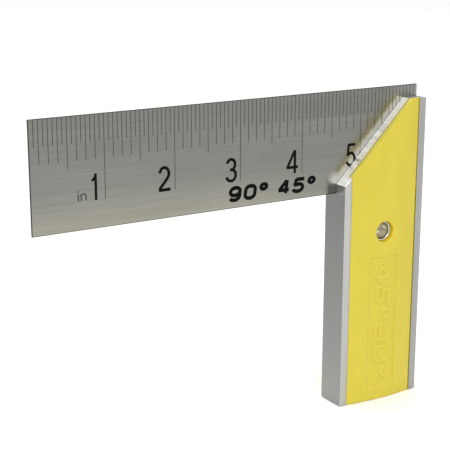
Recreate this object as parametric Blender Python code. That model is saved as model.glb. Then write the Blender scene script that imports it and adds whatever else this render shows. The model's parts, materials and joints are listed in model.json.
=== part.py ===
"""Try square with a six-inch rule blade: the solid model, one object for each separate piece.

Units are metres, +Z is up. The stock stands on its lower end, whose centre is the origin.
The blade runs from the stock towards -X, and the front of the square faces -Y.
"""
import math

import bmesh
import bpy

# Stock: an aluminium H-section, slotted at the top for the blade and mitred on its inner side
STOCK_WIDTH = 0.0358
STOCK_THICKNESS = 0.0118
STOCK_HEIGHT = 0.1131
RAIL_WIDTH = 0.0030
RAIL_EDGE_RADIUS = 0.0003
POCKET_DEPTH = 0.0020
MITRE_START = 0.08393  # height on the inner face where the 45 degree mitre begins

# Blade: six inches of steel sheet, held in the middle of the stock's thickness
BLADE_LENGTH = 0.1524
BLADE_WIDTH = 0.0370
BLADE_THICKNESS = 0.0009
BLADE_LOWER_EDGE = 0.08045  # height of the blade's lower, inner edge
BLADE_END_SETBACK = 0.0001  # of the blade's end behind the stock's outer face

# Rivets through both cheeks of the stock and the blade, with countersunk heads
RIVET_PLACES = {"blade_rivet_top": (0.010, 0.103),
                "blade_rivet_outer": (0.010, 0.0868),
                "blade_rivet_inner": (-0.008, 0.0868)}
RIVET_RADIUS = 0.0015
RIVET_HEAD_RADIUS = 0.0027
RIVET_HEAD_DEPTH = 0.0012

# Hanging hole and the eyelet that lines it
HANG_HOLE_HEIGHT = 0.0652
EYELET_BORE_RADIUS = 0.0030
EYELET_TUBE_RADIUS = 0.0033
EYELET_RIM_RADIUS = 0.00385
EYELET_RIM_HEIGHT = 0.0010

# Plastic inlays, domed across their width
INLAY_SIDE_GAP = 0.0004
INLAY_EDGE_RECESS = 0.0002  # of the inlay's long edges behind the rails
INLAY_CROWN = 0.0011  # of the inlay's middle in front of the rails
INLAY_HOLE_RADIUS = 0.0041
INLAY_LAND = 0.0026  # width of the land around the recess in the inlay's back
INLAY_HOLE_BOSS_RADIUS = 0.0056
INLAY_RECESS_DEPTH = 0.0007
PANEL_WIDTH = 0.0126  # of the shallow sunk panel in the inlay's face
PANEL_BOTTOM = 0.0056
PANEL_TOP = 0.0557
PANEL_DEPTH = 0.0003

CLEARANCE = 0.0003  # between pieces that touch
OVERSHOOT = 0.0050  # of a cutter past the faces that it opens
ROUND_SEGMENTS = 48
DOME_SEGMENTS = 20
EDGE_SEGMENTS = 2

HALF_WIDTH = STOCK_WIDTH / 2
RAIL_PLANE = STOCK_THICKNESS / 2
POCKET_HALF_WIDTH = HALF_WIDTH - RAIL_WIDTH
WEB_PLANE = RAIL_PLANE - POCKET_DEPTH
INLAY_HALF_WIDTH = POCKET_HALF_WIDTH - INLAY_SIDE_GAP
INLAY_BACK_PLANE = WEB_PLANE + CLEARANCE
INLAY_RECESS_PLANE = INLAY_BACK_PLANE + INLAY_RECESS_DEPTH
ADHESIVE_THICKNESS = INLAY_RECESS_PLANE - WEB_PLANE - 2 * CLEARANCE
MITRE_OFFSET = MITRE_START + HALF_WIDTH  # the mitre is the plane z = x + MITRE_OFFSET
FRONT, BACK = -1, 1


# ---------------------------------------------------------------- outlines

def arc(centre, radius, start_deg, end_deg, segments):
    """Points on a circle's arc, both ends included."""
    points = []
    for step in range(segments + 1):
        angle = math.radians(start_deg + (end_deg - start_deg) * step / segments)
        points.append((centre[0] + radius * math.cos(angle), centre[1] + radius * math.sin(angle)))
    return points


def rounded_outline(corners):
    """A right-angled outline in which each corner is (x, y, radius, start_deg, end_deg).

    A corner with no radius stays sharp. Its arc starts and ends at the angles given.
    """
    outline = []
    for x, y, radius, start, end in corners:
        if not radius:
            outline.append((x, y))
            continue
        towards_x = math.cos(math.radians(start)) + math.cos(math.radians(end))
        towards_y = math.sin(math.radians(start)) + math.sin(math.radians(end))
        centre = (x - radius * round(towards_x), y - radius * round(towards_y))
        outline += arc(centre, radius, start, end, EDGE_SEGMENTS)
    return outline


def stock_section():
    """The H-section across the stock, in X and Y, anticlockwise from its front right corner."""
    edge = RAIL_EDGE_RADIUS
    front_left = [(-HALF_WIDTH, -RAIL_PLANE, edge, 180, 270),
                  (-POCKET_HALF_WIDTH, -RAIL_PLANE, edge, 270, 360),
                  (-POCKET_HALF_WIDTH, -WEB_PLANE, 0, 0, 0)]
    front_right = [(POCKET_HALF_WIDTH, -WEB_PLANE, 0, 0, 0),
                   (POCKET_HALF_WIDTH, -RAIL_PLANE, edge, 180, 270),
                   (HALF_WIDTH, -RAIL_PLANE, edge, 270, 360)]
    front = rounded_outline(front_left + front_right)
    back = [(-x, -y) for x, y in front]
    return front + back


def dome_radius():
    """Radius of the inlay's dome, from its width and how far its middle stands above its edges."""
    rise = INLAY_CROWN + INLAY_EDGE_RECESS
    return (INLAY_HALF_WIDTH ** 2 + rise ** 2) / (2 * rise)


def dome_height(x, sunk=0.0):
    """Distance at x from the middle plane of the stock to the inlay's face, or to sunk below it."""
    centre = RAIL_PLANE + INLAY_CROWN - dome_radius()
    return centre + math.sqrt((dome_radius() - sunk) ** 2 - x ** 2)


def domed_section(half_width, inner_plane, side, sunk=0.0):
    """A section across the inlay: flat at inner_plane, domed on the outside."""
    crown = []
    for step in range(DOME_SEGMENTS + 1):
        x = half_width * (1 - 2 * step / DOME_SEGMENTS)
        crown.append((x, side * dome_height(x, sunk)))
    return [(-half_width, side * inner_plane), (half_width, side * inner_plane)] + crown


def inlay_area(inset):
    """The inlay's face outline in X and Z, moved inwards by inset on every side.

    The inset is wide enough for the mitre to meet the long outer side below the flat top.
    """
    half = INLAY_HALF_WIDTH - inset
    mitre = MITRE_OFFSET - inset * math.sqrt(2)
    return [(-half, inset), (half, inset), (half, mitre + half), (-half, mitre - half)]


def rectangle(low_x, low_z, high_x, high_z):
    return [(low_x, low_z), (high_x, low_z), (high_x, high_z), (low_x, high_z)]


# ---------------------------------------------------------------- solids

def finish_mesh(name, bm, material=None):
    """Turn a bmesh into a named object, with its faces pointing out."""
    bmesh.ops.recalc_face_normals(bm, faces=bm.faces)
    mesh = bpy.data.meshes.new(name)
    bm.to_mesh(mesh)
    bm.free()
    if material:
        mesh.materials.append(material)
    mesh.shade_smooth()
    mesh.set_sharp_from_angle(angle=math.radians(35))
    obj = bpy.data.objects.new(name, mesh)
    bpy.context.collection.objects.link(obj)
    return obj


def prism(name, outline, axis, low, high, material=None):
    """Extrude an outline along Z (outline in X, Y) or along Y (outline in X, Z)."""
    bm = bmesh.new()
    if axis == "Z":
        corners = [bm.verts.new((u, v, low)) for u, v in outline]
        travel = (0, 0, high - low)
    else:
        corners = [bm.verts.new((u, low, v)) for u, v in outline]
        travel = (0, high - low, 0)
    base = bm.faces.new(corners)
    extruded = bmesh.ops.extrude_face_region(bm, geom=[base])
    top_verts = [item for item in extruded["geom"] if isinstance(item, bmesh.types.BMVert)]
    bmesh.ops.translate(bm, verts=top_verts, vec=travel)
    return finish_mesh(name, bm, material)


def turned(name, profile, place, hollow, material=None):
    """Turn a profile of (radius, y) points about the Y direction, through place = (x, z).

    A hollow profile is a closed loop. A solid one is an open line, capped at both ends.
    """
    bm = bmesh.new()
    rings = []
    for radius, y in profile:
        ring = []
        for step in range(ROUND_SEGMENTS):
            angle = 2 * math.pi * step / ROUND_SEGMENTS
            ring.append(bm.verts.new((radius * math.cos(angle), y, radius * math.sin(angle))))
        rings.append(ring)
    pairs = list(zip(rings, rings[1:]))
    if hollow:
        pairs.append((rings[-1], rings[0]))
    else:
        bm.faces.new(rings[0])
        bm.faces.new(rings[-1])
    for ring, following in pairs:
        for step in range(ROUND_SEGMENTS):
            beyond = (step + 1) % ROUND_SEGMENTS
            bm.faces.new((ring[step], ring[beyond], following[beyond], following[step]))
    obj = finish_mesh(name, bm, material)
    obj.location = (place[0], 0, place[1])
    return obj


def make_cutter(obj):
    """Keep a tool body in the file, but out of the model."""
    obj.hide_render = True
    obj.display_type = "WIRE"
    return obj


def cut(target, *tools):
    for tool in tools:
        modifier = target.modifiers.new(tool.name, "BOOLEAN")
        modifier.operation = "DIFFERENCE"
        modifier.solver = "EXACT"
        modifier.object = make_cutter(tool)


# ---------------------------------------------------------------- materials

def make_material(name, colour, roughness, metallic):
    material = bpy.data.materials.new(name)
    material.use_nodes = True
    shader = material.node_tree.nodes["Principled BSDF"]
    shader.inputs["Base Color"].default_value = (*colour, 1.0)
    shader.inputs["Roughness"].default_value = roughness
    shader.inputs["Metallic"].default_value = metallic
    return material


# ---------------------------------------------------------------- cutters

def mitre_cutter():
    """The triangle above the 45 degree mitre, as deep as the whole square."""
    low = -HALF_WIDTH - OVERSHOOT
    high = STOCK_HEIGHT + OVERSHOOT
    triangle = [(low, low + MITRE_OFFSET), (high - MITRE_OFFSET, high), (low, high)]
    return prism("mitre_cutter", triangle, "Y", -STOCK_THICKNESS, STOCK_THICKNESS)


def blade_slot_cutter():
    """The saw cut for the blade, open at the top and on both sides of the stock."""
    half_slot = BLADE_THICKNESS / 2 + CLEARANCE
    side = HALF_WIDTH + OVERSHOOT
    opening = rectangle(-side, BLADE_LOWER_EDGE - CLEARANCE, side, STOCK_HEIGHT + OVERSHOOT)
    return prism("blade_slot_cutter", opening, "Y", -half_slot, half_slot)


def rivet_profile(grow):
    """A countersunk rivet from its front head to its back head, made larger all round by grow."""
    shank = RIVET_RADIUS + grow
    head = RIVET_HEAD_RADIUS + grow
    neck = WEB_PLANE - RIVET_HEAD_DEPTH
    return [(head, -WEB_PLANE), (shank, -neck), (shank, neck), (head, WEB_PLANE)]


def rivet_hole_cutter(name, place):
    """A hole with countersinks that run on past the web's faces."""
    profile = rivet_profile(CLEARANCE)
    widest = profile[0][0]
    past = WEB_PLANE + POCKET_DEPTH / 2
    profile = [(widest, -past)] + profile + [(widest, past)]
    return turned(name + "_hole_cutter", profile, place, hollow=False)


def round_cutter(name, radius, place):
    reach = STOCK_THICKNESS
    return turned(name, [(radius, -reach), (radius, reach)], place, hollow=False)


# ---------------------------------------------------------------- pieces

def make_stock(mitre, rivet_holes, material):
    stock = prism("stock_body", stock_section(), "Z", 0, STOCK_HEIGHT, material)
    hang_hole = round_cutter("stock_hang_hole_cutter", EYELET_TUBE_RADIUS + CLEARANCE,
                             (0, HANG_HOLE_HEIGHT))
    cut(stock, mitre, blade_slot_cutter(), hang_hole, *rivet_holes)


def make_blade(rivet_holes, material):
    end = HALF_WIDTH - BLADE_END_SETBACK
    face = rectangle(end - BLADE_LENGTH, BLADE_LOWER_EDGE, end, BLADE_LOWER_EDGE + BLADE_WIDTH)
    blade = prism("blade", face, "Y", -BLADE_THICKNESS / 2, BLADE_THICKNESS / 2, material)
    cut(blade, *rivet_holes)


def make_rivets(material):
    for name, place in RIVET_PLACES.items():
        turned(name, rivet_profile(0), place, hollow=False, material=material)


def make_eyelet(material):
    """A thin tube through the web, with a rolled rim standing on each of the web's faces."""
    rim_foot = WEB_PLANE + CLEARANCE
    rim_top = rim_foot + EYELET_RIM_HEIGHT
    roll = (EYELET_RIM_RADIUS - EYELET_BORE_RADIUS) / 2
    roll_centre = (EYELET_BORE_RADIUS + roll, rim_top - roll)
    over_the_rim = arc(roll_centre, roll, 180, 0, 8)
    back_half = [(EYELET_BORE_RADIUS, 0)] + over_the_rim
    back_half += [(EYELET_RIM_RADIUS, rim_foot), (EYELET_TUBE_RADIUS, rim_foot)]
    front_half = [(radius, -y) for radius, y in reversed(back_half) if y]
    turned("hang_hole_eyelet", back_half + front_half, (0, HANG_HOLE_HEIGHT), hollow=True,
           material=material)


def panel_cutter(name, side):
    """A block over the sunk panel, whose inner face follows the dome."""
    half = PANEL_WIDTH / 2
    planes = sorted((0, side * STOCK_THICKNESS))
    block = prism(name, rectangle(-half, PANEL_BOTTOM, half, PANEL_TOP), "Y", *planes)
    kept_section = domed_section(PANEL_WIDTH, -OVERSHOOT, side, PANEL_DEPTH)
    kept = prism(name + "_kept_core", kept_section, "Z", -OVERSHOOT, STOCK_HEIGHT)
    cut(block, kept)
    return block


def recess_cutter(name, side):
    """The shallow space behind the inlay for its adhesive, with a boss left around the hole."""
    planes = sorted((0, side * INLAY_RECESS_PLANE))
    recess = prism(name, inlay_area(INLAY_LAND), "Y", *planes)
    boss = round_cutter(name + "_boss", INLAY_HOLE_BOSS_RADIUS, (0, HANG_HOLE_HEIGHT))
    cut(recess, boss)
    return recess


def make_inlay(name, side, mitre, material):
    section = domed_section(INLAY_HALF_WIDTH, INLAY_BACK_PLANE, side)
    inlay = prism(name, section, "Z", 0, STOCK_HEIGHT, material)
    hang_hole = round_cutter(name + "_hole_cutter", INLAY_HOLE_RADIUS, (0, HANG_HOLE_HEIGHT))
    panel = panel_cutter(name + "_panel_cutter", side)
    cut(inlay, mitre, hang_hole, panel, recess_cutter(name + "_recess_cutter", side))


def make_adhesive(name, side, material):
    near = side * (WEB_PLANE + CLEARANCE)
    far = side * (WEB_PLANE + CLEARANCE + ADHESIVE_THICKNESS)
    low, high = sorted((near, far))
    sheet = prism(name, inlay_area(INLAY_LAND + CLEARANCE), "Y", low, high, material)
    cut(sheet, round_cutter(name + "_hole_cutter", INLAY_HOLE_BOSS_RADIUS + CLEARANCE,
                            (0, HANG_HOLE_HEIGHT)))


# ---------------------------------------------------------------- assembly

def clear_scene():
    for obj in list(bpy.data.objects):
        bpy.data.objects.remove(obj, do_unlink=True)


def build_try_square():
    clear_scene()
    aluminium = make_material("aluminium", (0.50, 0.50, 0.48), 0.40, 1.0)
    steel = make_material("blade_steel", (0.42, 0.42, 0.39), 0.34, 1.0)
    plastic = make_material("yellow_plastic", (0.72, 0.60, 0.08), 0.42, 0.0)
    rivet_metal = make_material("rivet_aluminium", (0.55, 0.55, 0.54), 0.45, 1.0)
    nickel = make_material("eyelet_nickel", (0.66, 0.65, 0.62), 0.20, 1.0)
    tape = make_material("adhesive_tape", (0.80, 0.79, 0.74), 0.60, 0.0)

    mitre = mitre_cutter()
    rivet_holes = [rivet_hole_cutter(name, place) for name, place in RIVET_PLACES.items()]
    make_stock(mitre, rivet_holes, aluminium)
    make_blade(rivet_holes, steel)
    make_rivets(rivet_metal)
    make_eyelet(nickel)
    for word, side in (("front", FRONT), ("back", BACK)):
        make_inlay(word + "_inlay", side, mitre, plastic)
        make_adhesive(word + "_inlay_adhesive", side, tape)


build_try_square()
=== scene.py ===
"""Try square: finished surfaces, materials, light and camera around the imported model.

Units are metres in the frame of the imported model. +Z is up, the stock stands on the floor, the blade
points to -X and the front of the square faces -Y. The middle plane is y = 0, and the stock's middle
and the hanging hole are at x = 0.
"""
import json
import math

import bmesh
import bpy
import numpy as np
from mathutils import Matrix, Vector


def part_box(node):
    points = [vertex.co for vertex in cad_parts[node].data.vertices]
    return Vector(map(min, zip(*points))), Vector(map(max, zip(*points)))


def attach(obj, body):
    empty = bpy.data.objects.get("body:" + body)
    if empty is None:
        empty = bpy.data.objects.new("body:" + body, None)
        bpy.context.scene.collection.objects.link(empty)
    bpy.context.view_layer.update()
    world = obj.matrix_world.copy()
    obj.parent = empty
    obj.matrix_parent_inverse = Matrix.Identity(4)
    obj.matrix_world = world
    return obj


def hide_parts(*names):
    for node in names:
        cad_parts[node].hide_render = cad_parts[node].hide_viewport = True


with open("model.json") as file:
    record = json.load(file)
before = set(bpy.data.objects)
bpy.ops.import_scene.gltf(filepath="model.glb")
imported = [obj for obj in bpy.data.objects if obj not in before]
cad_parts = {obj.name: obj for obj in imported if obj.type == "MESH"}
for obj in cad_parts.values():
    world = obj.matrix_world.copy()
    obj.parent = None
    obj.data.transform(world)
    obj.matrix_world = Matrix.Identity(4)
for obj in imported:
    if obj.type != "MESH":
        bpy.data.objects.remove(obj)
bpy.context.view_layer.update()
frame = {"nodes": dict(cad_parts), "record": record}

BODY = "root"
FRONT, BACK = -1, 1  # the side of the middle plane on which a face lies
TOLERANCE = 1e-6  # two lengths or counts that differ by less are the same
SHARP_ANGLE = math.radians(35)  # between two faces of machined metal, at an edge that is deburred

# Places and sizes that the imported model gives
STOCK_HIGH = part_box("stock_body")[1]
BLADE_LOW, BLADE_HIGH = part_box("blade")
INLAY_LOW, INLAY_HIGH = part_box("front_inlay")
EYELET_LOW, EYELET_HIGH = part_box("hang_hole_eyelet")
MITRE_POINT = next(m["pos_m"] for m in frame["record"]["mounts"] if m["name"] == "mitre_face")
MITRE_OFFSET = MITRE_POINT[2] - MITRE_POINT[0]  # the mitre is the plane z = x + MITRE_OFFSET
HALF_WIDTH = STOCK_HIGH.x
RAIL_PLANE = STOCK_HIGH.y
STOCK_TOP = STOCK_HIGH.z
BLADE_FACE = BLADE_HIGH.y
HOLE_Z = (EYELET_LOW.z + EYELET_HIGH.z) / 2
RIM_RADIUS = EYELET_HIGH.x
RIM_PLANE = EYELET_HIGH.y
INLAY_BACK = -INLAY_HIGH.y
CROWN_PLANE = -INLAY_LOW.y

# Fits
CLEARANCE = 0.0003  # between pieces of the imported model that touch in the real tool
FIT_GAP = 0.00006  # that shows between them here
SLOT_GAP = 0.00011  # between the blade and each side of its slot

# Stock
RAIL_WIDTH = 0.0030
WEB_PLANE = INLAY_BACK - CLEARANCE
RAIL_EDGE_RADIUS = 0.0003
STOCK_EDGE_SHARE = 0.4  # of that radius, on the stock's other edges
SLOT_HALF = BLADE_FACE + SLOT_GAP
RIVET_HOLE_RADIUS = 0.0018  # round the shank
COUNTERSINK_DEPTH = 0.0012
OVERSHOOT = 0.0050  # of a cutter past the faces that it opens
RIVET_OVERSHOOT = 0.0010  # the same for a rivet hole, which opens into the pockets

# Eyelet
EYELET_BORE = 0.0030  # radius
EYELET_TUBE = 0.0033  # outer radius
RIM_FLARE = 0.0009  # depth over which the bore widens into the rim
RIM_STEPS = 16  # round the rim's section
HOLE_SEGMENTS = 96

# Inlays
INLAY_HALF = HALF_WIDTH - RAIL_WIDTH - FIT_GAP
DOME_RISE = 0.00122  # of the middle of the inlay over its long edges
INLAY_EDGE_RADIUS = 0.00025
INLAY_SIDE_RADIUS = 0.00045  # of its long edges
INLAY_HOLE_RADIUS = RIM_RADIUS + FIT_GAP
INLAY_LIP_RADIUS = 0.0003
PANEL_HALF_WIDTH = 0.0063
PANEL_BOTTOM = 0.0056
PANEL_TOP = 0.0557
PANEL_DEPTH = 0.0005
PANEL_SOFTNESS = 0.0007  # width of the slope round the panel
RELIEF_TEXT = "45°90°"
RELIEF_SIZE = (0.0072, 0.0072)  # width and height of one figure
RELIEF_STROKE = 0.0015
RELIEF_DEPTH = 0.0005
RELIEF_SOFTNESS = 0.0004
FINE_STEP = 0.0002  # between the mesh lines over the panel
COARSE_STEP = 0.0010  # between the others
UPPER_ROWS = 14  # of the mesh, from above the hole to the mitre
PATCH_HALF = 0.0060  # of the square of mesh in which the rings round the hole lie
RING_SHARES = (0.35, 0.7)  # of the way from that square's outline to the hole's lip

# Blade
BLADE_EDGE_RADIUS = 0.0003  # of its lower edge
BLADE_EDGE_SHARE = 0.5  # of that radius, on its other edges
INCH = 0.0254
MILLIMETRE = 0.001
INK_THICKNESS = 0.00002
ETCH_THICKNESS = 0.00001
LINE_WIDTH = 0.00024
LINE_TOP_GAP = 0.00016  # between the upper end of a line and the blade's edge
LINES_PER_INCH = 16
# A line's length by what its count divides by
INCH_LINE_LENGTHS = ((16, 0.0277), (8, 0.0165), (4, 0.0143), (2, 0.0143), (1, 0.0088))
DIGIT_HEIGHT = 0.0085
DIGIT_BASELINE = 0.0092  # above the blade's lower edge
# For each inch number: its width (a 1 is drawn narrower), its stroke, and the gap to the inch line
DIGIT_FIT = {
    1: (0.0046, 0.00088, 0.0021),
    2: (0.0046, 0.00105, 0.0017),
    3: (0.0046, 0.00105, 0.0014),
    4: (0.0052, 0.00100, 0.0015),
    5: (0.0043, 0.00100, 0.0019),
}
UNIT_START = 0.0156  # from the blade's free end
UNIT_RISE = 0.0004  # over the numbers' baseline
UNIT_SIZE = (0.0022, 0.0034)
UNIT_STROKE = 0.00055
ANGLES_START = 0.0710  # from the blade's free end
ANGLES_BASELINE = 0.0022  # above the blade's lower edge
ANGLES_SIZE = (0.0052, 0.0056)
ANGLES_STROKE = 0.00135
ANGLES_SLANT = 0.15
MM_LINE_LENGTHS = ((10, 0.0085), (5, 0.0065), (1, 0.0045))
MM_LINE_WIDTH = 0.00015
MM_DIGIT_SIZE = (0.0020, 0.0036)
MM_DIGIT_STROKE = 0.0004
MM_DIGIT_GAP = 0.0012  # between a centimetre's line and its number


# ---------------------------------------------------------------- mesh helpers

def link_mesh(name, bm, materials):
    """Turn a bmesh into a named object with its faces pointing out."""
    bmesh.ops.recalc_face_normals(bm, faces=bm.faces)
    mesh = bpy.data.meshes.new(name)
    bm.to_mesh(mesh)
    bm.free()
    for material in materials:
        mesh.materials.append(material)
    obj = bpy.data.objects.new(name, mesh)
    bpy.context.collection.objects.link(obj)
    return obj


def prism(name, outline, axis, low, high, materials=()):
    """Extrude an outline along Z (outline in X, Y) or along Y (outline in X, Z)."""
    bm = bmesh.new()
    if axis == "Z":
        corners = [bm.verts.new((u, v, low)) for u, v in outline]
        travel = (0, 0, high - low)
    else:
        corners = [bm.verts.new((u, low, v)) for u, v in outline]
        travel = (0, high - low, 0)
    extruded = bmesh.ops.extrude_face_region(bm, geom=[bm.faces.new(corners)])
    moved = [item for item in extruded["geom"] if isinstance(item, bmesh.types.BMVert)]
    bmesh.ops.translate(bm, verts=moved, vec=travel)
    return link_mesh(name, bm, materials)


def rectangle(low_x, low_z, high_x, high_z):
    """The corners of an outline for a prism."""
    return [(low_x, low_z), (high_x, low_z), (high_x, high_z), (low_x, high_z)]


def turned(name, profile, place, closed, materials=()):
    """Turn a profile of (radius, y) points about the Y direction, through place = (x, z).

    A closed profile makes a ring. An open one makes a plug with a flat face at each end.
    """
    bm = bmesh.new()
    angles = [2 * math.pi * step / HOLE_SEGMENTS for step in range(HOLE_SEGMENTS)]
    rings = [[bm.verts.new((place[0] + radius * math.cos(a), y, place[1] + radius * math.sin(a)))
              for a in angles] for radius, y in profile]
    pairs = list(zip(rings, rings[1:]))
    if closed:
        pairs.append((rings[-1], rings[0]))
    else:
        bm.faces.new(rings[0])
        bm.faces.new(rings[-1])
    for ring, following in pairs:
        for step in range(HOLE_SEGMENTS):
            beyond = (step + 1) % HOLE_SEGMENTS
            bm.faces.new((ring[step], ring[beyond], following[beyond], following[step]))
    return link_mesh(name, bm, materials)


def evaluated_mesh(obj):
    """A new mesh with what the modifiers make of an object."""
    depsgraph = bpy.context.evaluated_depsgraph_get()
    return bpy.data.meshes.new_from_object(obj.evaluated_get(depsgraph))


def apply_modifiers(obj):
    """Keep what the modifiers make of an object as its own mesh."""
    mesh = evaluated_mesh(obj)
    obj.modifiers.clear()
    obj.data = mesh


def cut_away(obj, *tools):
    """Cut tool bodies out of an object, then remove them."""
    for tool in tools:
        modifier = obj.modifiers.new(tool.name, "BOOLEAN")
        modifier.operation = "DIFFERENCE"
        modifier.solver = "EXACT"
        modifier.object = tool
    apply_modifiers(obj)
    for tool in tools:
        bpy.data.objects.remove(tool)


def soften_edges(obj, width, share, slot=-1):
    """Round the sharp edges a little, as deburring does, each to its share of the width.

    The slot is the material of the rounded edges, or -1 for that of the faces beside them.
    """
    bm = bmesh.new()
    bm.from_mesh(obj.data)
    weight = bm.edges.layers.float.new("bevel_weight_edge")
    for edge in bm.edges:
        edge.smooth = not edge.is_manifold or edge.calc_face_angle() < SHARP_ANGLE
        edge[weight] = 0.0 if edge.smooth else share(*(vert.co for vert in edge.verts))
    bm.to_mesh(obj.data)
    bm.free()
    modifier = obj.modifiers.new("edges", "BEVEL")
    modifier.width = width
    modifier.segments = 2
    modifier.limit_method = "WEIGHT"
    modifier.material = slot
    modifier.use_clamp_overlap = False
    modifier.harden_normals = True
    for face in obj.data.polygons:
        face.use_smooth = True
    apply_modifiers(obj)


def paint_by_normal(mesh, slot_of_normal):
    """Give each face the material slot that its direction calls for."""
    for face in mesh.polygons:
        face.material_index = slot_of_normal(face.normal)


def lay_out_uv(mesh, glint_of_normal):
    """A UV map in metres whose U runs the way in which the surface smears a highlight."""
    layer = mesh.uv_layers.new(name="finish_direction")
    for face in mesh.polygons:
        along = Vector(glint_of_normal(face.normal))
        along = (along - face.normal * along.dot(face.normal)).normalized()
        across = face.normal.cross(along)
        for loop in face.loop_indices:
            point = mesh.vertices[mesh.loops[loop].vertex_index].co
            layer.data[loop].uv = (point.dot(along), point.dot(across))


def place_piece(obj, slot, *replaced):
    """Hand a finished piece to the frame."""
    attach(obj, BODY)
    if replaced:
        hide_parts(*replaced)


# ---------------------------------------------------------------- material helpers

class Finish:
    """One procedural material: a Principled shader and the nodes that drive it."""

    def __init__(self, name, colour, metallic, roughness, **settings):
        self.material = bpy.data.materials.new(name)
        self.material.use_nodes = True
        self.nodes = self.material.node_tree.nodes
        self.links = self.material.node_tree.links
        self.shader = self.nodes["Principled BSDF"]
        self.colour = colour
        self.shader.inputs["Base Color"].default_value = (*colour, 1)
        self.shader.inputs["Metallic"].default_value = metallic
        self.shader.inputs["Roughness"].default_value = roughness
        for socket, value in settings.items():
            self.shader.inputs[socket.replace("_", " ")].default_value = value
        self.tone = None  # the socket of a colour that varies
        self.place = self.nodes.new("ShaderNodeTexCoord").outputs["Object"]

    def noise(self, scale, detail, roughness=0.55, distortion=0.0):
        """Noise from 0 to 1 with its own scale along X, Y and Z, in cycles per metre."""
        mapping = self.nodes.new("ShaderNodeMapping")
        mapping.inputs["Scale"].default_value = scale
        texture = self.nodes.new("ShaderNodeTexNoise")
        texture.inputs["Scale"].default_value = 1.0
        texture.inputs["Detail"].default_value = detail
        texture.inputs["Roughness"].default_value = roughness
        texture.inputs["Distortion"].default_value = distortion
        self.links.new(self.place, mapping.inputs["Vector"])
        self.links.new(mapping.outputs["Vector"], texture.inputs["Vector"])
        return texture.outputs["Fac"]

    def ranged(self, value, low, high, start=0.3, end=0.7):
        """Map a value between start and end to between low and high."""
        node = self.nodes.new("ShaderNodeMapRange")
        node.inputs["From Min"].default_value = start
        node.inputs["From Max"].default_value = end
        node.inputs["To Min"].default_value = low
        node.inputs["To Max"].default_value = high
        self.links.new(value, node.inputs["Value"])
        return node.outputs["Result"]

    def combined(self, first, second, operation="MULTIPLY"):
        """Combine two values, as their product if nothing else is asked for."""
        node = self.nodes.new("ShaderNodeMath")
        node.operation = operation
        self.links.new(first, node.inputs[0])
        self.links.new(second, node.inputs[1])
        return node.outputs[0]

    def coordinate(self, axis):
        """The place along one axis, in metres."""
        split = self.nodes.new("ShaderNodeSeparateXYZ")
        self.links.new(self.place, split.inputs["Vector"])
        return split.outputs[axis]

    def along(self, axis, start, end, low, high):
        """A factor that runs from low to high between two places on an axis."""
        return self.ranged(self.coordinate(axis), low, high, start, end)

    def outwards(self, start, end, low, high):
        """A factor that runs from low to high between two distances from the middle plane."""
        distance = self.nodes.new("ShaderNodeMath")
        distance.operation = "ABSOLUTE"
        self.links.new(self.coordinate("Y"), distance.inputs[0])
        return self.ranged(distance.outputs[0], low, high, start, end)

    def shade(self, factor):
        """Multiply the colour by a factor that varies over the surface."""
        node = self.nodes.new("ShaderNodeVectorMath")
        node.operation = "SCALE"
        if self.tone:
            self.links.new(self.tone, node.inputs[0])
        else:
            node.inputs[0].default_value = self.colour
        self.links.new(factor, node.inputs["Scale"])
        self.links.new(node.outputs["Vector"], self.shader.inputs["Base Color"])

    def tint(self, factor, colour):
        """Mix the colour towards a second one."""
        node = self.nodes.new("ShaderNodeMix")
        node.data_type = "RGBA"
        node.inputs["A"].default_value = (*self.colour, 1)
        node.inputs["B"].default_value = (*colour, 1)
        self.links.new(factor, node.inputs["Factor"])
        self.tone = node.outputs["Result"]
        self.links.new(self.tone, self.shader.inputs["Base Color"])

    def roughen(self, value):
        """Let the roughness follow a value."""
        self.links.new(value, self.shader.inputs["Roughness"])

    def bump(self, height, depth, strength=1.0):
        """Relief of the given depth in metres."""
        node = self.nodes.new("ShaderNodeBump")
        node.inputs["Strength"].default_value = strength
        node.inputs["Distance"].default_value = depth
        self.links.new(height, node.inputs["Height"])
        self.links.new(node.outputs["Normal"], self.shader.inputs["Normal"])

    def smear(self, amount):
        """Stretch highlights along the U direction of the UV map."""
        tangent = self.nodes.new("ShaderNodeTangent")
        tangent.direction_type = "UV_MAP"
        tangent.uv_map = "finish_direction"
        self.shader.inputs["Anisotropic"].default_value = amount
        self.links.new(tangent.outputs["Tangent"], self.shader.inputs["Tangent"])


# ---------------------------------------------------------------- materials

def brushed_steel():
    """Steel strip, brushed along its length: fine streaks in X, and broader bands of sheen.

    Painted reflection: it is a little warmer low down, less so near the stock, a little darker towards
    the top, and lighter at the end above the stock.
    """
    finish = Finish("brushed_steel", (0.254, 0.254, 0.235), 1.0, 0.24)
    streaks = finish.noise((45, 45, 5200), detail=4)
    bands = finish.noise((14, 14, 620), detail=3)
    clouds = finish.noise((30, 30, 60), detail=2)
    warm_reflection_top = BLADE_LOW.z + 0.013  # below this height a warm painted reflection tints the strip
    painted_warm_reflection = finish.combined(finish.along("Z", BLADE_LOW.z, warm_reflection_top, 1.0, 0.0),
                           finish.along("X", -0.060, -0.025, 1.0, 0.3))
    finish.tint(painted_warm_reflection, (0.355, 0.345, 0.285))
    # painted sheen: darker towards the top and lighter at the end above the stock
    sheen = finish.combined(finish.along("Z", warm_reflection_top, BLADE_HIGH.z, 1.0, 0.93),
                            finish.along("X", 0.002, 0.010, 1.0, 1.35))
    wear = finish.combined(finish.ranged(bands, 0.93, 1.07), finish.ranged(clouds, 0.97, 1.03))
    brushing = finish.combined(wear, finish.ranged(streaks, 0.94, 1.06))
    finish.shade(finish.combined(sheen, brushing))
    finish.roughen(finish.ranged(streaks, 0.22, 0.30))
    finish.bump(streaks, 0.0000006)
    finish.smear(0.82)
    return finish.material


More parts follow.
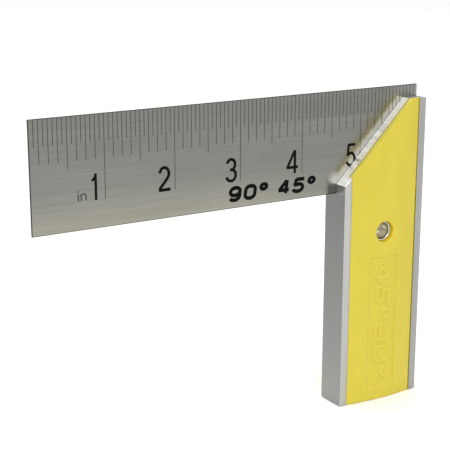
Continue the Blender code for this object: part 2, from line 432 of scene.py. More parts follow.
def sheared_steel():
    """The blade's thin edges, ground with marks across the strip."""
    finish = Finish("sheared_steel", (0.025, 0.025, 0.022), 1.0, 0.42)
    marks = finish.noise((3500, 300, 3500), detail=3)
    finish.shade(finish.ranged(marks, 0.75, 1.15))
    finish.roughen(finish.ranged(marks, 0.34, 0.52))
    finish.bump(marks, 0.000004)
    return finish.material


def extruded_aluminium():
    """The long faces of the stock, with die lines in Z, and painted light: lighter towards the top and
    the inner face.
    """
    finish = Finish("extruded_aluminium", (0.43, 0.43, 0.415), 1.0, 0.34)
    lines = finish.noise((3800, 3800, 12), detail=3)
    bands = finish.noise((700, 700, 9), detail=2)
    clouds = finish.noise((90, 90, 90), detail=3)
    # painted sheen and shade: lighter towards the inner face and towards the top
    sheen = finish.combined(finish.along("X", -HALF_WIDTH, HALF_WIDTH, 1.13, 0.80),
                            finish.along("Z", 0.045, BLADE_HIGH.z, 1.0, 1.28))
    wear = finish.combined(finish.ranged(bands, 0.94, 1.05), finish.ranged(clouds, 0.96, 1.03))
    finish.shade(finish.combined(sheen, wear))
    finish.roughen(finish.ranged(clouds, 0.30, 0.40))
    finish.bump(lines, 0.000002)
    finish.smear(0.45)
    return finish.material


def ground_aluminium():
    """The stock's inner working face: duller than the rails, with grinding marks along it.

    Painted shade and reflection: it darkens from the foot up to the blade, and is lighter again beside
    the slot.
    """
    finish = Finish("ground_aluminium", (0.245, 0.245, 0.24), 1.0, 0.40)
    lines = finish.noise((4200, 4200, 30), detail=4)
    clouds = finish.noise((120, 120, 70), detail=3)
    # painted shade up to the blade, and a painted reflection beside the slot
    sheen = finish.combined(finish.along("Z", 0.0, BLADE_LOW.z, 1.22, 0.80),
                            finish.along("Z", BLADE_LOW.z - 0.0005, BLADE_LOW.z + 0.0015, 1.0, 1.6))
    wear = finish.combined(finish.ranged(lines, 0.96, 1.04), finish.ranged(clouds, 0.97, 1.03))
    finish.shade(finish.combined(sheen, wear))
    finish.roughen(finish.ranged(clouds, 0.36, 0.46))
    finish.bump(lines, 0.000002)
    finish.smear(0.35)
    return finish.material


def sawn_aluminium(name, colour, painted_yellow_reflection, metallic):
    """A sawn end or a filed mitre, with marks across the stock. The less metallic it is, the more matt.

    Beside the inlays its colour is tinted towards a painted reflection of the yellow plastic.
    """
    finish = Finish(name, colour, metallic, 0.40)
    # painted reflection of the yellow inlays, on the metal next to them
    beside = finish.combined(finish.outwards(0.0020, INLAY_BACK, 0.0, 1.0),
                             finish.along("X", -INLAY_HALF - 0.0005, -INLAY_HALF, 0.0, 1.0))
    finish.tint(beside, painted_yellow_reflection)
    marks = finish.noise((2600, 60, 2600), detail=3, roughness=0.6)
    facets = finish.noise((500, 60, 500), detail=2)
    wear = finish.combined(finish.ranged(marks, 0.70, 1.10), finish.ranged(facets, 0.78, 1.08))
    finish.shade(wear)
    finish.roughen(finish.ranged(facets, 0.34, 0.48))
    finish.bump(marks, 0.000010)
    return finish.material


def yellow_plastic(name, colour):
    """Satin moulded plastic with a fine mould grain and faint flow marks, and painted shade that darkens
    it towards +X.
    """
    finish = Finish(name, colour, 0.0, 0.36, IOR=1.50, Subsurface_Weight=0.35,
                    Subsurface_Radius=(1.0, 0.55, 0.08), Subsurface_Scale=0.0006)
    grain = finish.noise((5200, 5200, 5200), detail=3)
    flow = finish.noise((160, 160, 55), detail=3, distortion=0.4)
    scuffs = finish.noise((260, 260, 1900), detail=4, distortion=1.2)
    # painted shade: darker towards +X
    side = finish.along("X", 0.002, INLAY_HALF, 1.0, 0.94)
    finish.shade(finish.combined(side, finish.ranged(flow, 0.97, 1.02)))
    finish.roughen(finish.combined(finish.ranged(flow, 0.32, 0.40),
                                   finish.ranged(scuffs, 0.92, 1.15, 0.45, 0.8)))
    finish.bump(grain, 0.000006, 0.5)
    return finish.material


def cut_plastic():
    """The inlays' trimmed ends: darker than the face, with a painted contact shadow that darkens them
    most next to the web.
    """
    finish = Finish("cut_plastic", (0.65, 0.545, 0.058), 0.0, 0.38, IOR=1.50)
    marks = finish.noise((2600, 60, 2600), detail=3, roughness=0.6)
    # painted contact shadow next to the web
    painted_contact_shadow = finish.outwards(INLAY_BACK + 0.0002, INLAY_BACK + 0.0005, 0.45, 1.0)
    finish.shade(finish.combined(painted_contact_shadow, finish.ranged(marks, 0.94, 1.05)))
    finish.bump(marks, 0.000002)
    return finish.material


def nickel_plate():
    """Plating with faint draw lines along it, a painted highlight that brightens the rims, and painted
    shade that dulls the bore.
    """
    finish = Finish("nickel_plate", (0.60, 0.57, 0.47), 1.0, 0.22)
    lines = finish.noise((2400, 120, 2400), detail=3)
    # painted highlight: the rims are tinted brighter
    finish.tint(finish.outwards(WEB_PLANE, RIM_PLANE, 0.0, 1.0), (0.78, 0.74, 0.63))
    # painted shade: darker down the bore
    depth = finish.outwards(0.0012, 0.0026, 0.60, 1.0)
    finish.shade(finish.combined(depth, finish.ranged(lines, 0.90, 1.05)))
    finish.roughen(finish.ranged(lines, 0.16, 0.28))
    finish.bump(lines, 0.000004)
    return finish.material


def rivet_metal():
    """Turned aluminium, under the inlays."""
    finish = Finish("rivet_metal", (0.56, 0.56, 0.55), 1.0, 0.42)
    marks = finish.noise((1500, 1500, 1500), detail=4)
    finish.shade(finish.ranged(marks, 0.88, 1.06))
    finish.bump(marks, 0.00001)
    return finish.material


def adhesive_tape():
    """White double-sided tape, with fibres across it."""
    finish = Finish("adhesive_tape", (0.78, 0.77, 0.71), 0.0, 0.62)
    fibres = finish.noise((900, 900, 2600), detail=4)
    finish.shade(finish.ranged(fibres, 0.92, 1.04))
    finish.bump(fibres, 0.00002)
    return finish.material


def black_ink():
    """Screen-printed ink, slightly uneven."""
    finish = Finish("black_ink", (0.002, 0.002, 0.002), 0.0, 0.60, Specular_IOR_Level=0.06)
    mottle = finish.noise((1800, 1800, 1800), detail=3)
    finish.tint(finish.ranged(mottle, 0.0, 1.0, 0.55, 0.80), (0.008, 0.008, 0.007))
    finish.roughen(finish.ranged(mottle, 0.50, 0.70))
    finish.bump(mottle, 0.000003)
    return finish.material


def grey_ink():
    """Thin grey print through which the steel shows a little."""
    finish = Finish("grey_ink", (0.055, 0.055, 0.050), 0.0, 0.55, Specular_IOR_Level=0.2)
    mottle = finish.noise((2500, 2500, 2500), detail=3)
    finish.shade(finish.ranged(mottle, 0.8, 1.3))
    return finish.material


def etched_line():
    """The floor of an etched line, darkened by the acid."""
    finish = Finish("etched_line", (0.030, 0.030, 0.028), 0.3, 0.60)
    mottle = finish.noise((2200, 2200, 900), detail=3)
    finish.shade(finish.ranged(mottle, 0.6, 1.5))
    finish.roughen(finish.ranged(mottle, 0.45, 0.65))
    return finish.material


def pale_floor():
    """A pale floor with painted light: a painted pool of light close to the stock, and painted shade far
    in front of it.
    """
    finish = Finish("pale_floor", (0.98, 0.98, 0.975), 0.0, 0.75)
    mottle = finish.noise((6, 6, 6), detail=2)
    # painted shade: dimmer far in front of the stock
    painted_shade_in_front = finish.along("Y", -0.50, -0.12, 0.70, 1.0)
    outside_light_pool = 0.918  # the factor on floor outside the painted pool of light close to the stock
    # painted pool of light round the stock
    corner = finish.combined(finish.along("X", -0.06, -0.02, outside_light_pool, 1.0),
                             finish.along("Y", -0.06, -0.02, outside_light_pool, 1.0), "MINIMUM")
    close = finish.combined(corner, finish.along("Y", 0.10, 0.60, 1.0, outside_light_pool), "MINIMUM")
    tone = finish.combined(painted_shade_in_front, close)
    finish.shade(finish.combined(tone, finish.ranged(mottle, 0.995, 1.0)))
    return finish.material


# ---------------------------------------------------------------- stock

def stock_section():
    """The H-section across the stock, in X and Y."""
    pocket = HALF_WIDTH - RAIL_WIDTH
    front = [(-HALF_WIDTH, -RAIL_PLANE), (-pocket, -RAIL_PLANE), (-pocket, -WEB_PLANE),
             (pocket, -WEB_PLANE), (pocket, -RAIL_PLANE), (HALF_WIDTH, -RAIL_PLANE)]
    return front + [(-x, -y) for x, y in front]


def mitre_tool():
    """A wedge over the mitre plane."""
    low = -HALF_WIDTH - OVERSHOOT
    high = STOCK_TOP + OVERSHOOT
    triangle = [(low, low + MITRE_OFFSET), (high - MITRE_OFFSET, high), (low, high)]
    return prism("mitre_tool", triangle, "Y", -2 * RAIL_PLANE, 2 * RAIL_PLANE)


def slot_tool():
    """The saw slot for the blade, open at the top and at both sides."""
    side = HALF_WIDTH + OVERSHOOT
    opening = rectangle(-side, BLADE_LOW.z - FIT_GAP, side, STOCK_TOP + OVERSHOOT)
    return prism("slot_tool", opening, "Y", -SLOT_HALF, SLOT_HALF)


def rivet_hole_tools():
    """A countersunk hole for each rivet, clear of it all round."""
    tools = []
    for node in sorted(n for n in frame["nodes"] if n.startswith("blade_rivet")):
        low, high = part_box(node)
        centre = (low + high) / 2
        head = high.x - centre.x + CLEARANCE
        neck = WEB_PLANE - COUNTERSINK_DEPTH
        past = WEB_PLANE + RIVET_OVERSHOOT
        profile = [(head, -past), (head, -WEB_PLANE), (RIVET_HOLE_RADIUS, -neck),
                   (RIVET_HOLE_RADIUS, neck), (head, WEB_PLANE), (head, past)]
        tools.append(turned(node + "_tool", profile, (centre.x, centre.z), closed=False))
    return tools


def make_stock():
    """The H-section with its mitre, slot and holes. Each kind of face has its own metal finish."""
    # the third colour of each finish is a painted reflection of the yellow inlays beside it
    mitre = sawn_aluminium("filed_mitre", (0.97, 0.97, 0.95), (0.95, 0.85, 0.46), metallic=0.62)
    end = sawn_aluminium("sawn_end", (0.52, 0.52, 0.51), (0.50, 0.49, 0.45), metallic=1.0)
    metals = (extruded_aluminium(), ground_aluminium(), mitre, end)
    stock = prism("stock_extrusion", stock_section(), "Z", 0, STOCK_TOP, metals)
    hole_radius = EYELET_TUBE + CLEARANCE
    hole = turned("hole_tool", [(hole_radius, -2 * RAIL_PLANE), (hole_radius, 2 * RAIL_PLANE)],
                  (0, HOLE_Z), closed=False)
    cut_away(stock, mitre_tool(), slot_tool(), hole, *rivet_hole_tools())

    def slot_of(normal):
        if abs(normal.z) > 0.3:
            return 3 if abs(normal.z) > 0.99 else 2
        return 1 if normal.x < -0.99 else 0

    def rounding(start, end):
        near, far = sorted((abs(start.y), abs(end.y)))
        if far < SLOT_HALF + TOLERANCE:
            return 0.0  # the slot's own edges stay crisp
        on_rail = near > RAIL_PLANE - TOLERANCE
        on_outer_face = min(start.x, end.x) > HALF_WIDTH - TOLERANCE
        return 1.0 if on_rail and not on_outer_face else STOCK_EDGE_SHARE

    def glint_across(normal):
        return normal.cross(Vector((0, 0, 1))) if abs(normal.z) < 0.3 else Vector((1, 0, 0))

    paint_by_normal(stock.data, slot_of)
    soften_edges(stock, RAIL_EDGE_RADIUS, rounding)
    lay_out_uv(stock.data, glint_across)
    place_piece(stock, "stock_aluminium", "stock_body")


# ---------------------------------------------------------------- figures

def bow(centre_u, centre_v, radius_u, radius_v, start_deg, end_deg):
    """Points along an ellipse's arc, one about every 10 degrees."""
    count = max(2, round(abs(end_deg - start_deg) / 10))
    angles = [math.radians(start_deg + (end_deg - start_deg) * k / count) for k in range(count + 1)]
    return [(centre_u + radius_u * math.cos(a), centre_v + radius_v * math.sin(a)) for a in angles]


def loop(centre_u, centre_v, radius_u, radius_v):
    """Points round a whole ellipse."""
    return bow(centre_u, centre_v, radius_u, radius_v, 0, 360)[:-1]


# The centre lines of each figure's strokes, as (points, closed), in a box one unit wide and high
FIGURES = {
    "0": [(bow(0.5, 0.70, 0.5, 0.30, 0, 180) + bow(0.5, 0.30, 0.5, 0.30, 180, 360), True)],
    "1": [([(0.5, -0.03), (0.5, 1.10)], False), ([(0.5, 1.02), (0.36, 0.88), (0.12, 0.80)], False)],
    "2": [(bow(0.5, 0.72, 0.48, 0.28, 172, -22)
           + [(0.80, 0.49), (0.40, 0.27), (0.08, 0.10), (0.0, 0.0)], False),
          ([(-0.08, 0.0), (1.14, 0.0)], False)],
    "3": [(bow(0.48, 0.755, 0.45, 0.245, 165, -72) + [(0.36, 0.515)], False),
          ([(0.36, 0.515)] + bow(0.48, 0.265, 0.52, 0.265, 78, -165), False)],
    "4": [([(0.76, -0.03), (0.76, 1.07)], False), ([(0.72, 1.04), (0.0, 0.27)], False),
          ([(-0.07, 0.265), (1.07, 0.265)], False)],
    "5": [([(1.06, 1.0), (0.14, 1.0)], False), ([(0.18, 1.04), (0.08, 0.46)], False),
          ([(0.06, 0.50)] + bow(0.46, 0.30, 0.54, 0.30, 132, -162), False)],
    "6": [(loop(0.5, 0.31, 0.5, 0.31), True),
          ([(0.0, 0.31), (0.0, 0.60)] + bow(0.5, 0.72, 0.5, 0.28, 180, 25), False)],
    "7": [([(0.0, 1.0), (1.0, 1.0)], False), ([(0.97, 1.0), (0.55, 0.50), (0.36, 0.0)], False)],
    "8": [(loop(0.5, 0.76, 0.43, 0.24), True), (loop(0.5, 0.26, 0.5, 0.26), True)],
    "9": [(loop(0.5, 0.69, 0.5, 0.31), True),
          ([(1.0, 0.69), (1.0, 0.40)] + bow(0.5, 0.28, 0.5, 0.28, 0, -155), False)],
    "°": [(loop(0.30, 0.80, 0.30, 0.20), True)],
    "i": [([(0.5, -0.05), (0.5, 0.72)], False), ([(0.5, 0.92), (0.5, 1.08)], False)],
    "n": [([(0.0, -0.05), (0.0, 0.72)], False),
          ([(0.0, 0.42)] + bow(0.5, 0.42, 0.5, 0.28, 180, 0) + [(1.0, -0.05)], False)],
}
NARROW = {"1": 0.40, "i": 0.10, "°": 0.60, " ": 0.25}  # width as a share of the other figures'
CENTRED = "1i"  # these are drawn in the middle of the unit box, the other narrow ones at its left
FIGURE_SPACE = 0.18  # between figures, as a share of a figure's width


def figure_width(text, width, stroke):
    """Width of one figure, the thickness of its strokes included. A longer text counts as one figure."""
    return stroke + NARROW.get(text, 1.0) * (width - stroke)


def laid_out(text, size, stroke):
    """For each figure, its strokes' centre lines as (points, closed), from the lower left corner."""
    width, height = size
    inner = width - stroke
    left = 0.0
    placed = []
    for character in text:
        share = NARROW.get(character, 1.0)
        shift = (1 - share) / 2 if character in CENTRED else 0.0
        strokes = []
        for points, closed in FIGURES.get(character, []):
            strokes.append(([(left + stroke / 2 + (u - shift) * inner,
                              stroke / 2 + v * (height - stroke)) for u, v in points], closed))
        if strokes:
            placed.append(strokes)
        left += stroke + share * inner + FIGURE_SPACE * width
    return placed


def stroke_solid(points, width, closed, side):
    """A printed stroke on the blade's front or back face, along a line of (reading x, z) points."""
    bm = bmesh.new()
    count = len(points)
    rows = []
    for k, point in enumerate(points):
        before = points[k - 1] if closed or k else point
        after = points[(k + 1) % count] if closed or k < count - 1 else point
        run = Vector(after) - Vector(before)
        normal = Vector((-run.y, run.x)).normalized() * (width / 2)
        row = []
        for u, v in (Vector(point) + normal, Vector(point) - normal):
            for depth in (0.0, INK_THICKNESS):
                row.append(bm.verts.new((-side * u, side * (BLADE_FACE + depth), v)))
        rows.append(row)
    pairs = list(zip(rows, rows[1:]))
    if closed:
        pairs.append((rows[-1], rows[0]))
    else:
        for row in (rows[0], rows[-1]):
            bm.faces.new([row[0], row[1], row[3], row[2]])
    for row, following in pairs:
        for a, b in ((0, 1), (1, 3), (3, 2), (2, 0)):
            bm.faces.new([row[a], row[b], following[b], following[a]])
    return link_mesh("stroke", bm, ())


# ---------------------------------------------------------------- inlays

def edge_stations(radius):
    """Distances from an edge at which mesh lines follow its quarter-round."""
    return [radius * (1 - math.cos(math.radians(angle))) for angle in (0, 20, 40, 60, 90)]


def edge_drop(distance, radius):
    """Depth of a quarter-round below the surface, at a distance from its edge."""
    inside = np.clip(radius - distance, 0, radius)
    return radius - np.sqrt(radius ** 2 - inside ** 2)


def smooth_step(value):
    """Ease from 0 to 1 as the value goes from 0 to 1."""
    value = np.clip(value, 0, 1)
    return value * value * (3 - 2 * value)


def stations(*stretches):
    """Positions along a line. Each stretch is (start, end, longest step), and they follow on."""
    places = []
    for start, end, step in stretches:
        count = max(1, math.ceil((end - start) / step - TOLERANCE))
        places += [start + (end - start) * index / count for index in range(count)]
    return places + [stretches[-1][1]]


def inlay_columns():
    """X of the mesh lines up the inlay, fine over the panel and close along the round edges."""
    edge = edge_stations(INLAY_SIDE_RADIUS)
    inner = INLAY_HALF - INLAY_SIDE_RADIUS
    fine = PANEL_HALF_WIDTH + 2 * PANEL_SOFTNESS
    kink = STOCK_TOP - MITRE_OFFSET
    middle = stations((-inner, -fine, COARSE_STEP), (-fine, -PATCH_HALF, FINE_STEP),
                      (-PATCH_HALF, PATCH_HALF, FINE_STEP), (PATCH_HALF, fine, FINE_STEP),
                      (fine, kink, COARSE_STEP), (kink, inner, COARSE_STEP))
    left = [-INLAY_HALF + distance for distance in edge[:-1]]
    right = [INLAY_HALF - distance for distance in reversed(edge[:-1])]
    return left + middle + right


def inlay_rows():
    """Mesh lines across the inlay, each as (share, level): its height is share * top + level.

    The share grows from 0 to 1 above the hole, so that the last rows follow the mitre.
    """
    edge = edge_stations(INLAY_EDGE_RADIUS)
    fine_low = PANEL_BOTTOM - 2 * PANEL_SOFTNESS
    fine_high = PANEL_TOP + 2 * PANEL_SOFTNESS
    patch_low = HOLE_Z - PATCH_HALF
    patch_high = HOLE_Z + PATCH_HALF
    bend = HOLE_Z + PATCH_HALF + COARSE_STEP
    levels = edge[:-1] + stations((edge[-1], fine_low, COARSE_STEP), (fine_low, fine_high, FINE_STEP),
                                  (fine_high, patch_low, COARSE_STEP),
                                  (patch_low, patch_high, 2 * FINE_STEP),
                                  (patch_high, bend, COARSE_STEP))
    rows = [(0.0, level) for level in levels]
    rim = edge[-1] * math.sqrt(2)  # height of the mitre's quarter-round
    for index in range(1, UPPER_ROWS + 1):
        share = index / UPPER_ROWS
        rows.append((share, (1 - share) * bend - share * rim))
    rows += [(1.0, -distance * math.sqrt(2)) for distance in reversed(edge[:-1])]
    return rows


def inlay_top(x):
    """Height of the inlay's upper edge: the mitre, then the flat top."""
    return min(STOCK_TOP, x + MITRE_OFFSET)


def stroke_distance(places, points, closed):
    """Distance from each place to a line of points."""
    line = np.array(points + points[:1] if closed else points)
    nearest = np.full(len(places), np.inf)
    for start, end in zip(line, line[1:]):
        run = end - start
        offset = places - start
        share = np.clip(offset @ run / max(run @ run, TOLERANCE ** 2), 0, 1)
        nearest = np.minimum(nearest, np.linalg.norm(offset - share[:, None] * run, axis=1))
    return nearest


def relief_heights(x, z):
    """Height of the raised figures over the panel. They read downwards, with their tops towards +x."""
    figures = laid_out(RELIEF_TEXT, RELIEF_SIZE, RELIEF_STROKE)
    length = max(u for strokes in figures for points, _ in strokes for u, _ in points)
    length += RELIEF_STROKE / 2
    centre_z = (PANEL_BOTTOM + PANEL_TOP) / 2
    near = (np.abs(x) < PANEL_HALF_WIDTH) & (z > PANEL_BOTTOM) & (z < PANEL_TOP)
    places = np.column_stack([centre_z + length / 2 - z, x + RELIEF_SIZE[1] / 2])[near]
    distance = np.full(len(places), np.inf)
    for strokes in figures:
        for points, closed in strokes:
            distance = np.minimum(distance, stroke_distance(places, points, closed))
    heights = np.zeros(len(x))
    heights[near] = RELIEF_DEPTH * smooth_step(0.5 + (RELIEF_STROKE / 2 - distance) / RELIEF_SOFTNESS)
    return heights


def inlay_heights(x, z, reading_x):
    """Distance of the inlay's face from the middle plane of the stock, at points in X and Z."""
    dome = (INLAY_HALF ** 2 + DOME_RISE ** 2) / (2 * DOME_RISE)
    height = CROWN_PLANE - dome + np.sqrt(dome ** 2 - x ** 2)
    from_panel = np.minimum.reduce([PANEL_HALF_WIDTH - np.abs(x), z - PANEL_BOTTOM, PANEL_TOP - z])
    height -= PANEL_DEPTH * smooth_step(from_panel / PANEL_SOFTNESS + 0.5)
    height += relief_heights(reading_x, z)
    height -= edge_drop(np.maximum(INLAY_HALF - np.abs(x), 0), INLAY_SIDE_RADIUS)
    for distance in (z, STOCK_TOP - z, (x + MITRE_OFFSET - z) / math.sqrt(2)):
        height -= edge_drop(np.maximum(distance, 0), INLAY_EDGE_RADIUS)
    from_hole = np.hypot(x, z - HOLE_Z) - INLAY_HOLE_RADIUS
    return height - edge_drop(np.maximum(from_hole, 0), INLAY_LIP_RADIUS)


def inlay_grid():
    """Points in X and Z on the mesh lines, and faces over them, with a square open for the hole."""
    columns, rows = inlay_columns(), inlay_rows()
    points, faces, index_of = [], [], {}
    for r, (share, level) in enumerate(rows):
        for c, x in enumerate(columns):
            z = share * inlay_top(x) + level
            from_middle = max(abs(x), abs(z - HOLE_Z))
            if share > 0 or from_middle > PATCH_HALF - TOLERANCE:
                index_of[r, c] = len(points)
                points.append((x, z))
    for r in range(len(rows) - 1):
        for c in range(len(columns) - 1):
            cell = [(r, c), (r, c + 1), (r + 1, c + 1), (r + 1, c)]
            middle_x = (columns[c] + columns[c + 1]) / 2
            middle_z = (rows[r][1] + rows[r + 1][1]) / 2
            from_middle = max(abs(middle_x), abs(middle_z - HOLE_Z))
            if rows[r + 1][0] > 0 or from_middle > PATCH_HALF:
                faces.append([index_of[key] for key in cell])
    return points, faces


def add_rings(points, faces):
    """Fill the open square round the hole with rings of faces, from its outline to the hole's wall."""
    square = [i for i, (x, z) in enumerate(points)
              if abs(max(abs(x), abs(z - HOLE_Z)) - PATCH_HALF) < TOLERANCE]
    square.sort(key=lambda i: math.atan2(points[i][1] - HOLE_Z, points[i][0]))
    lip = [INLAY_HOLE_RADIUS + distance for distance in reversed(edge_stations(INLAY_LIP_RADIUS))]
    outer = square
    for number in range(len(RING_SHARES) + len(lip)):
        ring = []
        for i in square:
            x, z = points[i][0], points[i][1] - HOLE_Z
            distance = math.hypot(x, z)
            between = [distance + (lip[0] - distance) * share for share in RING_SHARES]
            radius = (between + lip)[number]
            ring.append(len(points))
            points.append((x * radius / distance, HOLE_Z + z * radius / distance))
        for k in range(len(square)):
            beyond = (k + 1) % len(square)
            faces.append([outer[k], outer[beyond], ring[beyond], ring[k]])
        outer = ring


def make_inlay(name, side, materials, replaced):
    """The domed plastic plate: a fine face with its relief, plain walls and a flat back.

    The materials are those of the moulded face, of the trimmed ends, and of the wall of the hole.
    """
    points, faces = inlay_grid()
    add_rings(points, faces)
    x, z = np.array(points).T
    heights = inlay_heights(x, z, -side * x)
    bm = bmesh.new()
    verts = [bm.verts.new((x, side * y, z)) for (x, z), y in zip(points, heights)]
    for face in faces:
        bm.faces.new([verts[i] for i in face])
    rim_edges = [edge for edge in bm.edges if edge.is_boundary]
    walls = bmesh.ops.extrude_edge_only(bm, edges=rim_edges)["geom"]
    for item in walls:
        if isinstance(item, bmesh.types.BMVert):
            item.co.y = side * INLAY_BACK
    back_edges = [item for item in walls if isinstance(item, bmesh.types.BMEdge) and item.is_boundary]
    bmesh.ops.triangle_fill(bm, use_beauty=True, edges=back_edges)
    inlay = link_mesh(name, bm, materials)

    def slot_of(centre, normal):
        from_hole = math.hypot(centre.x, centre.z - HOLE_Z)
        if from_hole < INLAY_HOLE_RADIUS + INLAY_LIP_RADIUS / 2 and abs(normal.y) < 0.8:
            return 2
        return 1 if abs(normal.y) < 0.3 and normal.z > 0.6 else 0

    for face in inlay.data.polygons:
        face.material_index = slot_of(face.center, face.normal)
    inlay.data.shade_smooth()
    inlay.data.set_sharp_from_angle(angle=math.radians(50))
    place_piece(inlay, "inlay_plastic", replaced)


# ---------------------------------------------------------------- eyelet

def make_eyelet():
    """A thin tube through the web, with a rim on each side that flares from the bore and rolls back."""
    roll = (RIM_RADIUS - EYELET_BORE) / 2
    half = [(EYELET_BORE, 0.0)]
    for step in range(RIM_STEPS + 1):
        angle = math.radians(180 - 180 * step / RIM_STEPS)
        height = RIM_FLARE if step < RIM_STEPS / 2 else roll  # the flare, then the roll
        half.append((EYELET_BORE + roll + roll * math.cos(angle),
                     RIM_PLANE - height + height * math.sin(angle)))
    rim_back = WEB_PLANE + CLEARANCE
    half += [(RIM_RADIUS - roll / 4, rim_back), (EYELET_TUBE, rim_back), (EYELET_TUBE, 0.0)]
    front = [(radius, -y) for radius, y in reversed(half[1:-1])]
    eyelet = turned("hanging_eyelet", half + front, (0, HOLE_Z), True, (nickel_plate(),))
    eyelet.data.shade_smooth()
    eyelet.data.set_sharp_from_angle(angle=math.radians(40))
    place_piece(eyelet, "eyelet_metal", "hang_hole_eyelet")


# ---------------------------------------------------------------- blade

def make_blade():
    """The steel strip. Its brushed faces and its thin edges have different finishes."""
    outline = rectangle(BLADE_LOW.x, BLADE_LOW.z, BLADE_HIGH.x, BLADE_HIGH.z)
    metals = (brushed_steel(), sheared_steel())
    blade = prism("rule_blade", outline, "Y", -BLADE_FACE, BLADE_FACE, metals)
    cut_away(blade, *rivet_hole_tools())

    def rounding(start, end):
        on_lower_edge = max(start.z, end.z) < BLADE_LOW.z + TOLERANCE
        return 1.0 if on_lower_edge else BLADE_EDGE_SHARE

    def glint_across(normal):
        return Vector((0, 0, 1)) if abs(normal.z) < 0.9 else Vector((1, 0, 0))

    paint_by_normal(blade.data, lambda normal: 0 if abs(normal.y) > 0.9 else 1)
    soften_edges(blade, BLADE_EDGE_RADIUS, rounding, slot=1)
    lay_out_uv(blade.data, glint_across)
    place_piece(blade, "blade_steel", "blade")


def line_length(index, lengths):
    """Length of a numbered graduation, from (divisor, length) pairs, the largest divisor first."""
    return next(length for divisor, length in lengths if index % divisor == 0)


def graduations(name, side, places, width, material):
    """Etched lines down from the blade's upper edge. Each place is (x, length)."""
    bm = bmesh.new()
    top = BLADE_HIGH.z - LINE_TOP_GAP
    near, far = BLADE_FACE, BLADE_FACE + ETCH_THICKNESS
    for x, length in places:
        low = (x - width / 2, near, BLADE_HIGH.z - length)
        high = (x + width / 2, far, top)
        size = Vector(high) - Vector(low)
        middle = (Vector(high) + Vector(low)) / 2
        middle.y *= side
        matrix = Matrix.Translation(middle) @ Matrix.Diagonal((*size, 1))
        bmesh.ops.create_cube(bm, size=1, matrix=matrix)
    lines = link_mesh(name, bm, (material,))
    place_piece(lines, "etched_lines")


def add_figures(bm, text, side, left, base, size, stroke, slant=0.0):
    """Add printed figures to a bmesh, from their lower left corner as one reads them."""
    for strokes in laid_out(text, size, stroke):
        solids = []
        for points, closed in strokes:
            placed = [(left + u + slant * v, base + v) for u, v in points]
            solids.append(stroke_solid(placed, stroke, closed, side))
        first, others = solids[0], solids[1:]
        for other in others:
            modifier = first.modifiers.new(other.name, "BOOLEAN")
            modifier.operation = "UNION"
            modifier.solver = "EXACT"
            modifier.object = other
        mesh = evaluated_mesh(first)
        bm.from_mesh(mesh)
        bpy.data.meshes.remove(mesh)
        for solid in solids:
            bpy.data.objects.remove(solid)


def mark_front():
    """An inch scale from the free end, its numbers and a unit, and the two angles in bold."""
    start = BLADE_LOW.x
    count = round((BLADE_HIGH.x - BLADE_LOW.x) / INCH * LINES_PER_INCH)
    places = [(start + INCH * i / LINES_PER_INCH, line_length(i, INCH_LINE_LENGTHS))
              for i in range(1, count)]
    graduations("inch_graduations", FRONT, places, LINE_WIDTH, etched_line())
    base = BLADE_LOW.z + DIGIT_BASELINE
    ink = black_ink()
    bm = bmesh.new()
    for number, (width, stroke, gap) in DIGIT_FIT.items():
        left = start + INCH * number - gap - figure_width(str(number), width, stroke)
        add_figures(bm, str(number), FRONT, left, base, (width, DIGIT_HEIGHT), stroke)
    place_piece(link_mesh("inch_numbers", bm, (ink,)), "black_ink")
    bm = bmesh.new()
    add_figures(bm, "in", FRONT, start + UNIT_START, base + UNIT_RISE, UNIT_SIZE, UNIT_STROKE)
    place_piece(link_mesh("inch_unit", bm, (grey_ink(),)), "etched_lines")
    bm = bmesh.new()
    add_figures(bm, "90° 45°", FRONT, start + ANGLES_START, BLADE_LOW.z + ANGLES_BASELINE,
                ANGLES_SIZE, ANGLES_STROKE, ANGLES_SLANT)
    place_piece(link_mesh("angle_figures", bm, (ink,)), "black_ink")


def mark_back():
    """A millimetre scale from the stock's outer face, with a number at each centimetre.

    A number of two figures starts where one full figure would, so it reaches further to the right.
    """
    start = BLADE_HIGH.x
    count = int((BLADE_HIGH.x - BLADE_LOW.x) / MILLIMETRE)
    places = [(start - MILLIMETRE * i, line_length(i, MM_LINE_LENGTHS)) for i in range(1, count + 1)]
    graduations("millimetre_graduations", BACK, places, MM_LINE_WIDTH, etched_line())
    bm = bmesh.new()
    longest = MM_LINE_LENGTHS[0][1]
    base = BLADE_HIGH.z - longest - MM_DIGIT_GAP - MM_DIGIT_SIZE[1]
    for number in range(1, count // 10 + 1):
        width = figure_width(str(number), MM_DIGIT_SIZE[0], MM_DIGIT_STROKE)
        left = 10 * MILLIMETRE * number - start - width / 2
        add_figures(bm, str(number), BACK, left, base, MM_DIGIT_SIZE, MM_DIGIT_STROKE)
    place_piece(link_mesh("centimetre_numbers", bm, (black_ink(),)), "black_ink")


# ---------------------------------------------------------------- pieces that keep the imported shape

def finish_packed_nodes():
    """Give the rivets and the tape their materials."""
    metal, tape = rivet_metal(), adhesive_tape()
    for name, obj in frame["nodes"].items():
        if name.startswith("blade_rivet"):
            obj.material_slots[0].material = metal
        elif name.endswith("_adhesive"):
            obj.material_slots[0].material = tape


# ---------------------------------------------------------------- studio

def area_light(name, place, aim, size, radiance):
    """A square soft light. Radiance 1 is a white that just fills the picture's range."""
    light = bpy.data.lights.new(name, "AREA")
    light.shape = "SQUARE"
    light.size = size
    light.energy = radiance * math.pi * size ** 2
    obj = bpy.data.objects.new(name, light)
    bpy.context.collection.objects.link(obj)
    obj.location = place
    obj.rotation_euler = (Vector(aim) - Vector(place)).to_track_quat("-Z", "Y").to_euler()


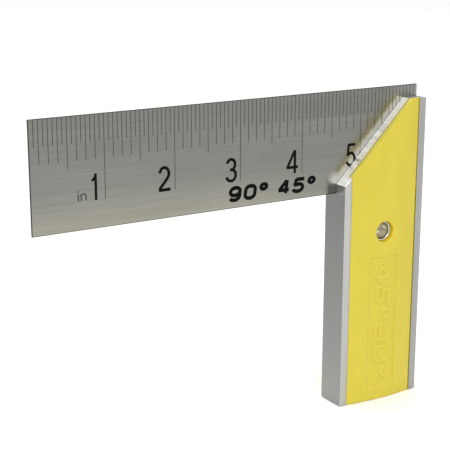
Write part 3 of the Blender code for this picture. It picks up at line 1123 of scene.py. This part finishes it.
def make_sky(horizon, zenith):
    """Even studio light: dim at the horizon and bright overhead."""
    world = bpy.data.worlds.new("studio")
    bpy.context.scene.world = world
    world.use_nodes = True
    nodes, links = world.node_tree.nodes, world.node_tree.links
    place = nodes.new("ShaderNodeTexCoord")
    height = nodes.new("ShaderNodeSeparateXYZ")
    ramp = nodes.new("ShaderNodeMapRange")
    ramp.interpolation_type = "SMOOTHSTEP"
    ramp.inputs["From Min"].default_value = math.sin(math.radians(25))
    ramp.inputs["From Max"].default_value = math.sin(math.radians(65))
    ramp.inputs["To Min"].default_value = horizon
    ramp.inputs["To Max"].default_value = zenith
    links.new(place.outputs["Generated"], height.inputs["Vector"])
    links.new(height.outputs["Z"], ramp.inputs["Value"])
    links.new(ramp.outputs["Result"], nodes["Background"].inputs["Strength"])
    nodes["Background"].inputs["Color"].default_value = (1, 1, 1, 1)


def make_floor():
    """A wide plane just under the stock's foot."""
    half, gap = 8.0, 0.0002
    bm = bmesh.new()
    bmesh.ops.create_grid(bm, x_segments=1, y_segments=1, size=half)
    floor = link_mesh("floor", bm, (pale_floor(),))
    floor.location.z = -gap


def make_camera():
    """Look from the front left, a little above the blade."""
    camera = bpy.data.cameras.new("camera")
    camera.sensor_width = 36
    camera.lens = 96.05
    camera.clip_start = 0.01
    camera.clip_end = 100
    obj = bpy.data.objects.new("camera", camera)
    bpy.context.collection.objects.link(obj)
    azimuth, elevation = 31.396, 14.648
    obj.location = (-0.270743, -0.338271, 0.178549)
    obj.rotation_euler = (math.radians(90 - elevation), 0, math.radians(-azimuth))
    bpy.context.scene.camera = obj


def make_studio():
    """A floor, a camera, an even sky, a key light in front on the left and a weak light behind."""
    make_floor()
    make_camera()
    make_sky(horizon=0.93, zenith=1.15)
    middle = (-0.05, 0, 0.06)
    area_light("key_softbox", (-0.45, -1.20, 0.90), middle, 0.75, 6.0)
    area_light("back_softbox", (-0.30, 1.20, 1.00), middle, 1.1, 1.2)
    bpy.context.scene.view_settings.view_transform = "Standard"


make_stock()
make_blade()
mark_front()
mark_back()
make_eyelet()
# the hole's wall gets a more orange copy of the yellow: painted bounce light inside the hole
plastics = (yellow_plastic("yellow_plastic", (0.545, 0.452, 0.029)), cut_plastic(),
            yellow_plastic("yellow_plastic_painted_bounce_in_the_hole", (0.66, 0.50, 0.020)))
make_inlay("front_plastic_inlay", FRONT, plastics, "front_inlay")
make_inlay("back_plastic_inlay", BACK, plastics, "back_inlay")
finish_packed_nodes()
make_studio()
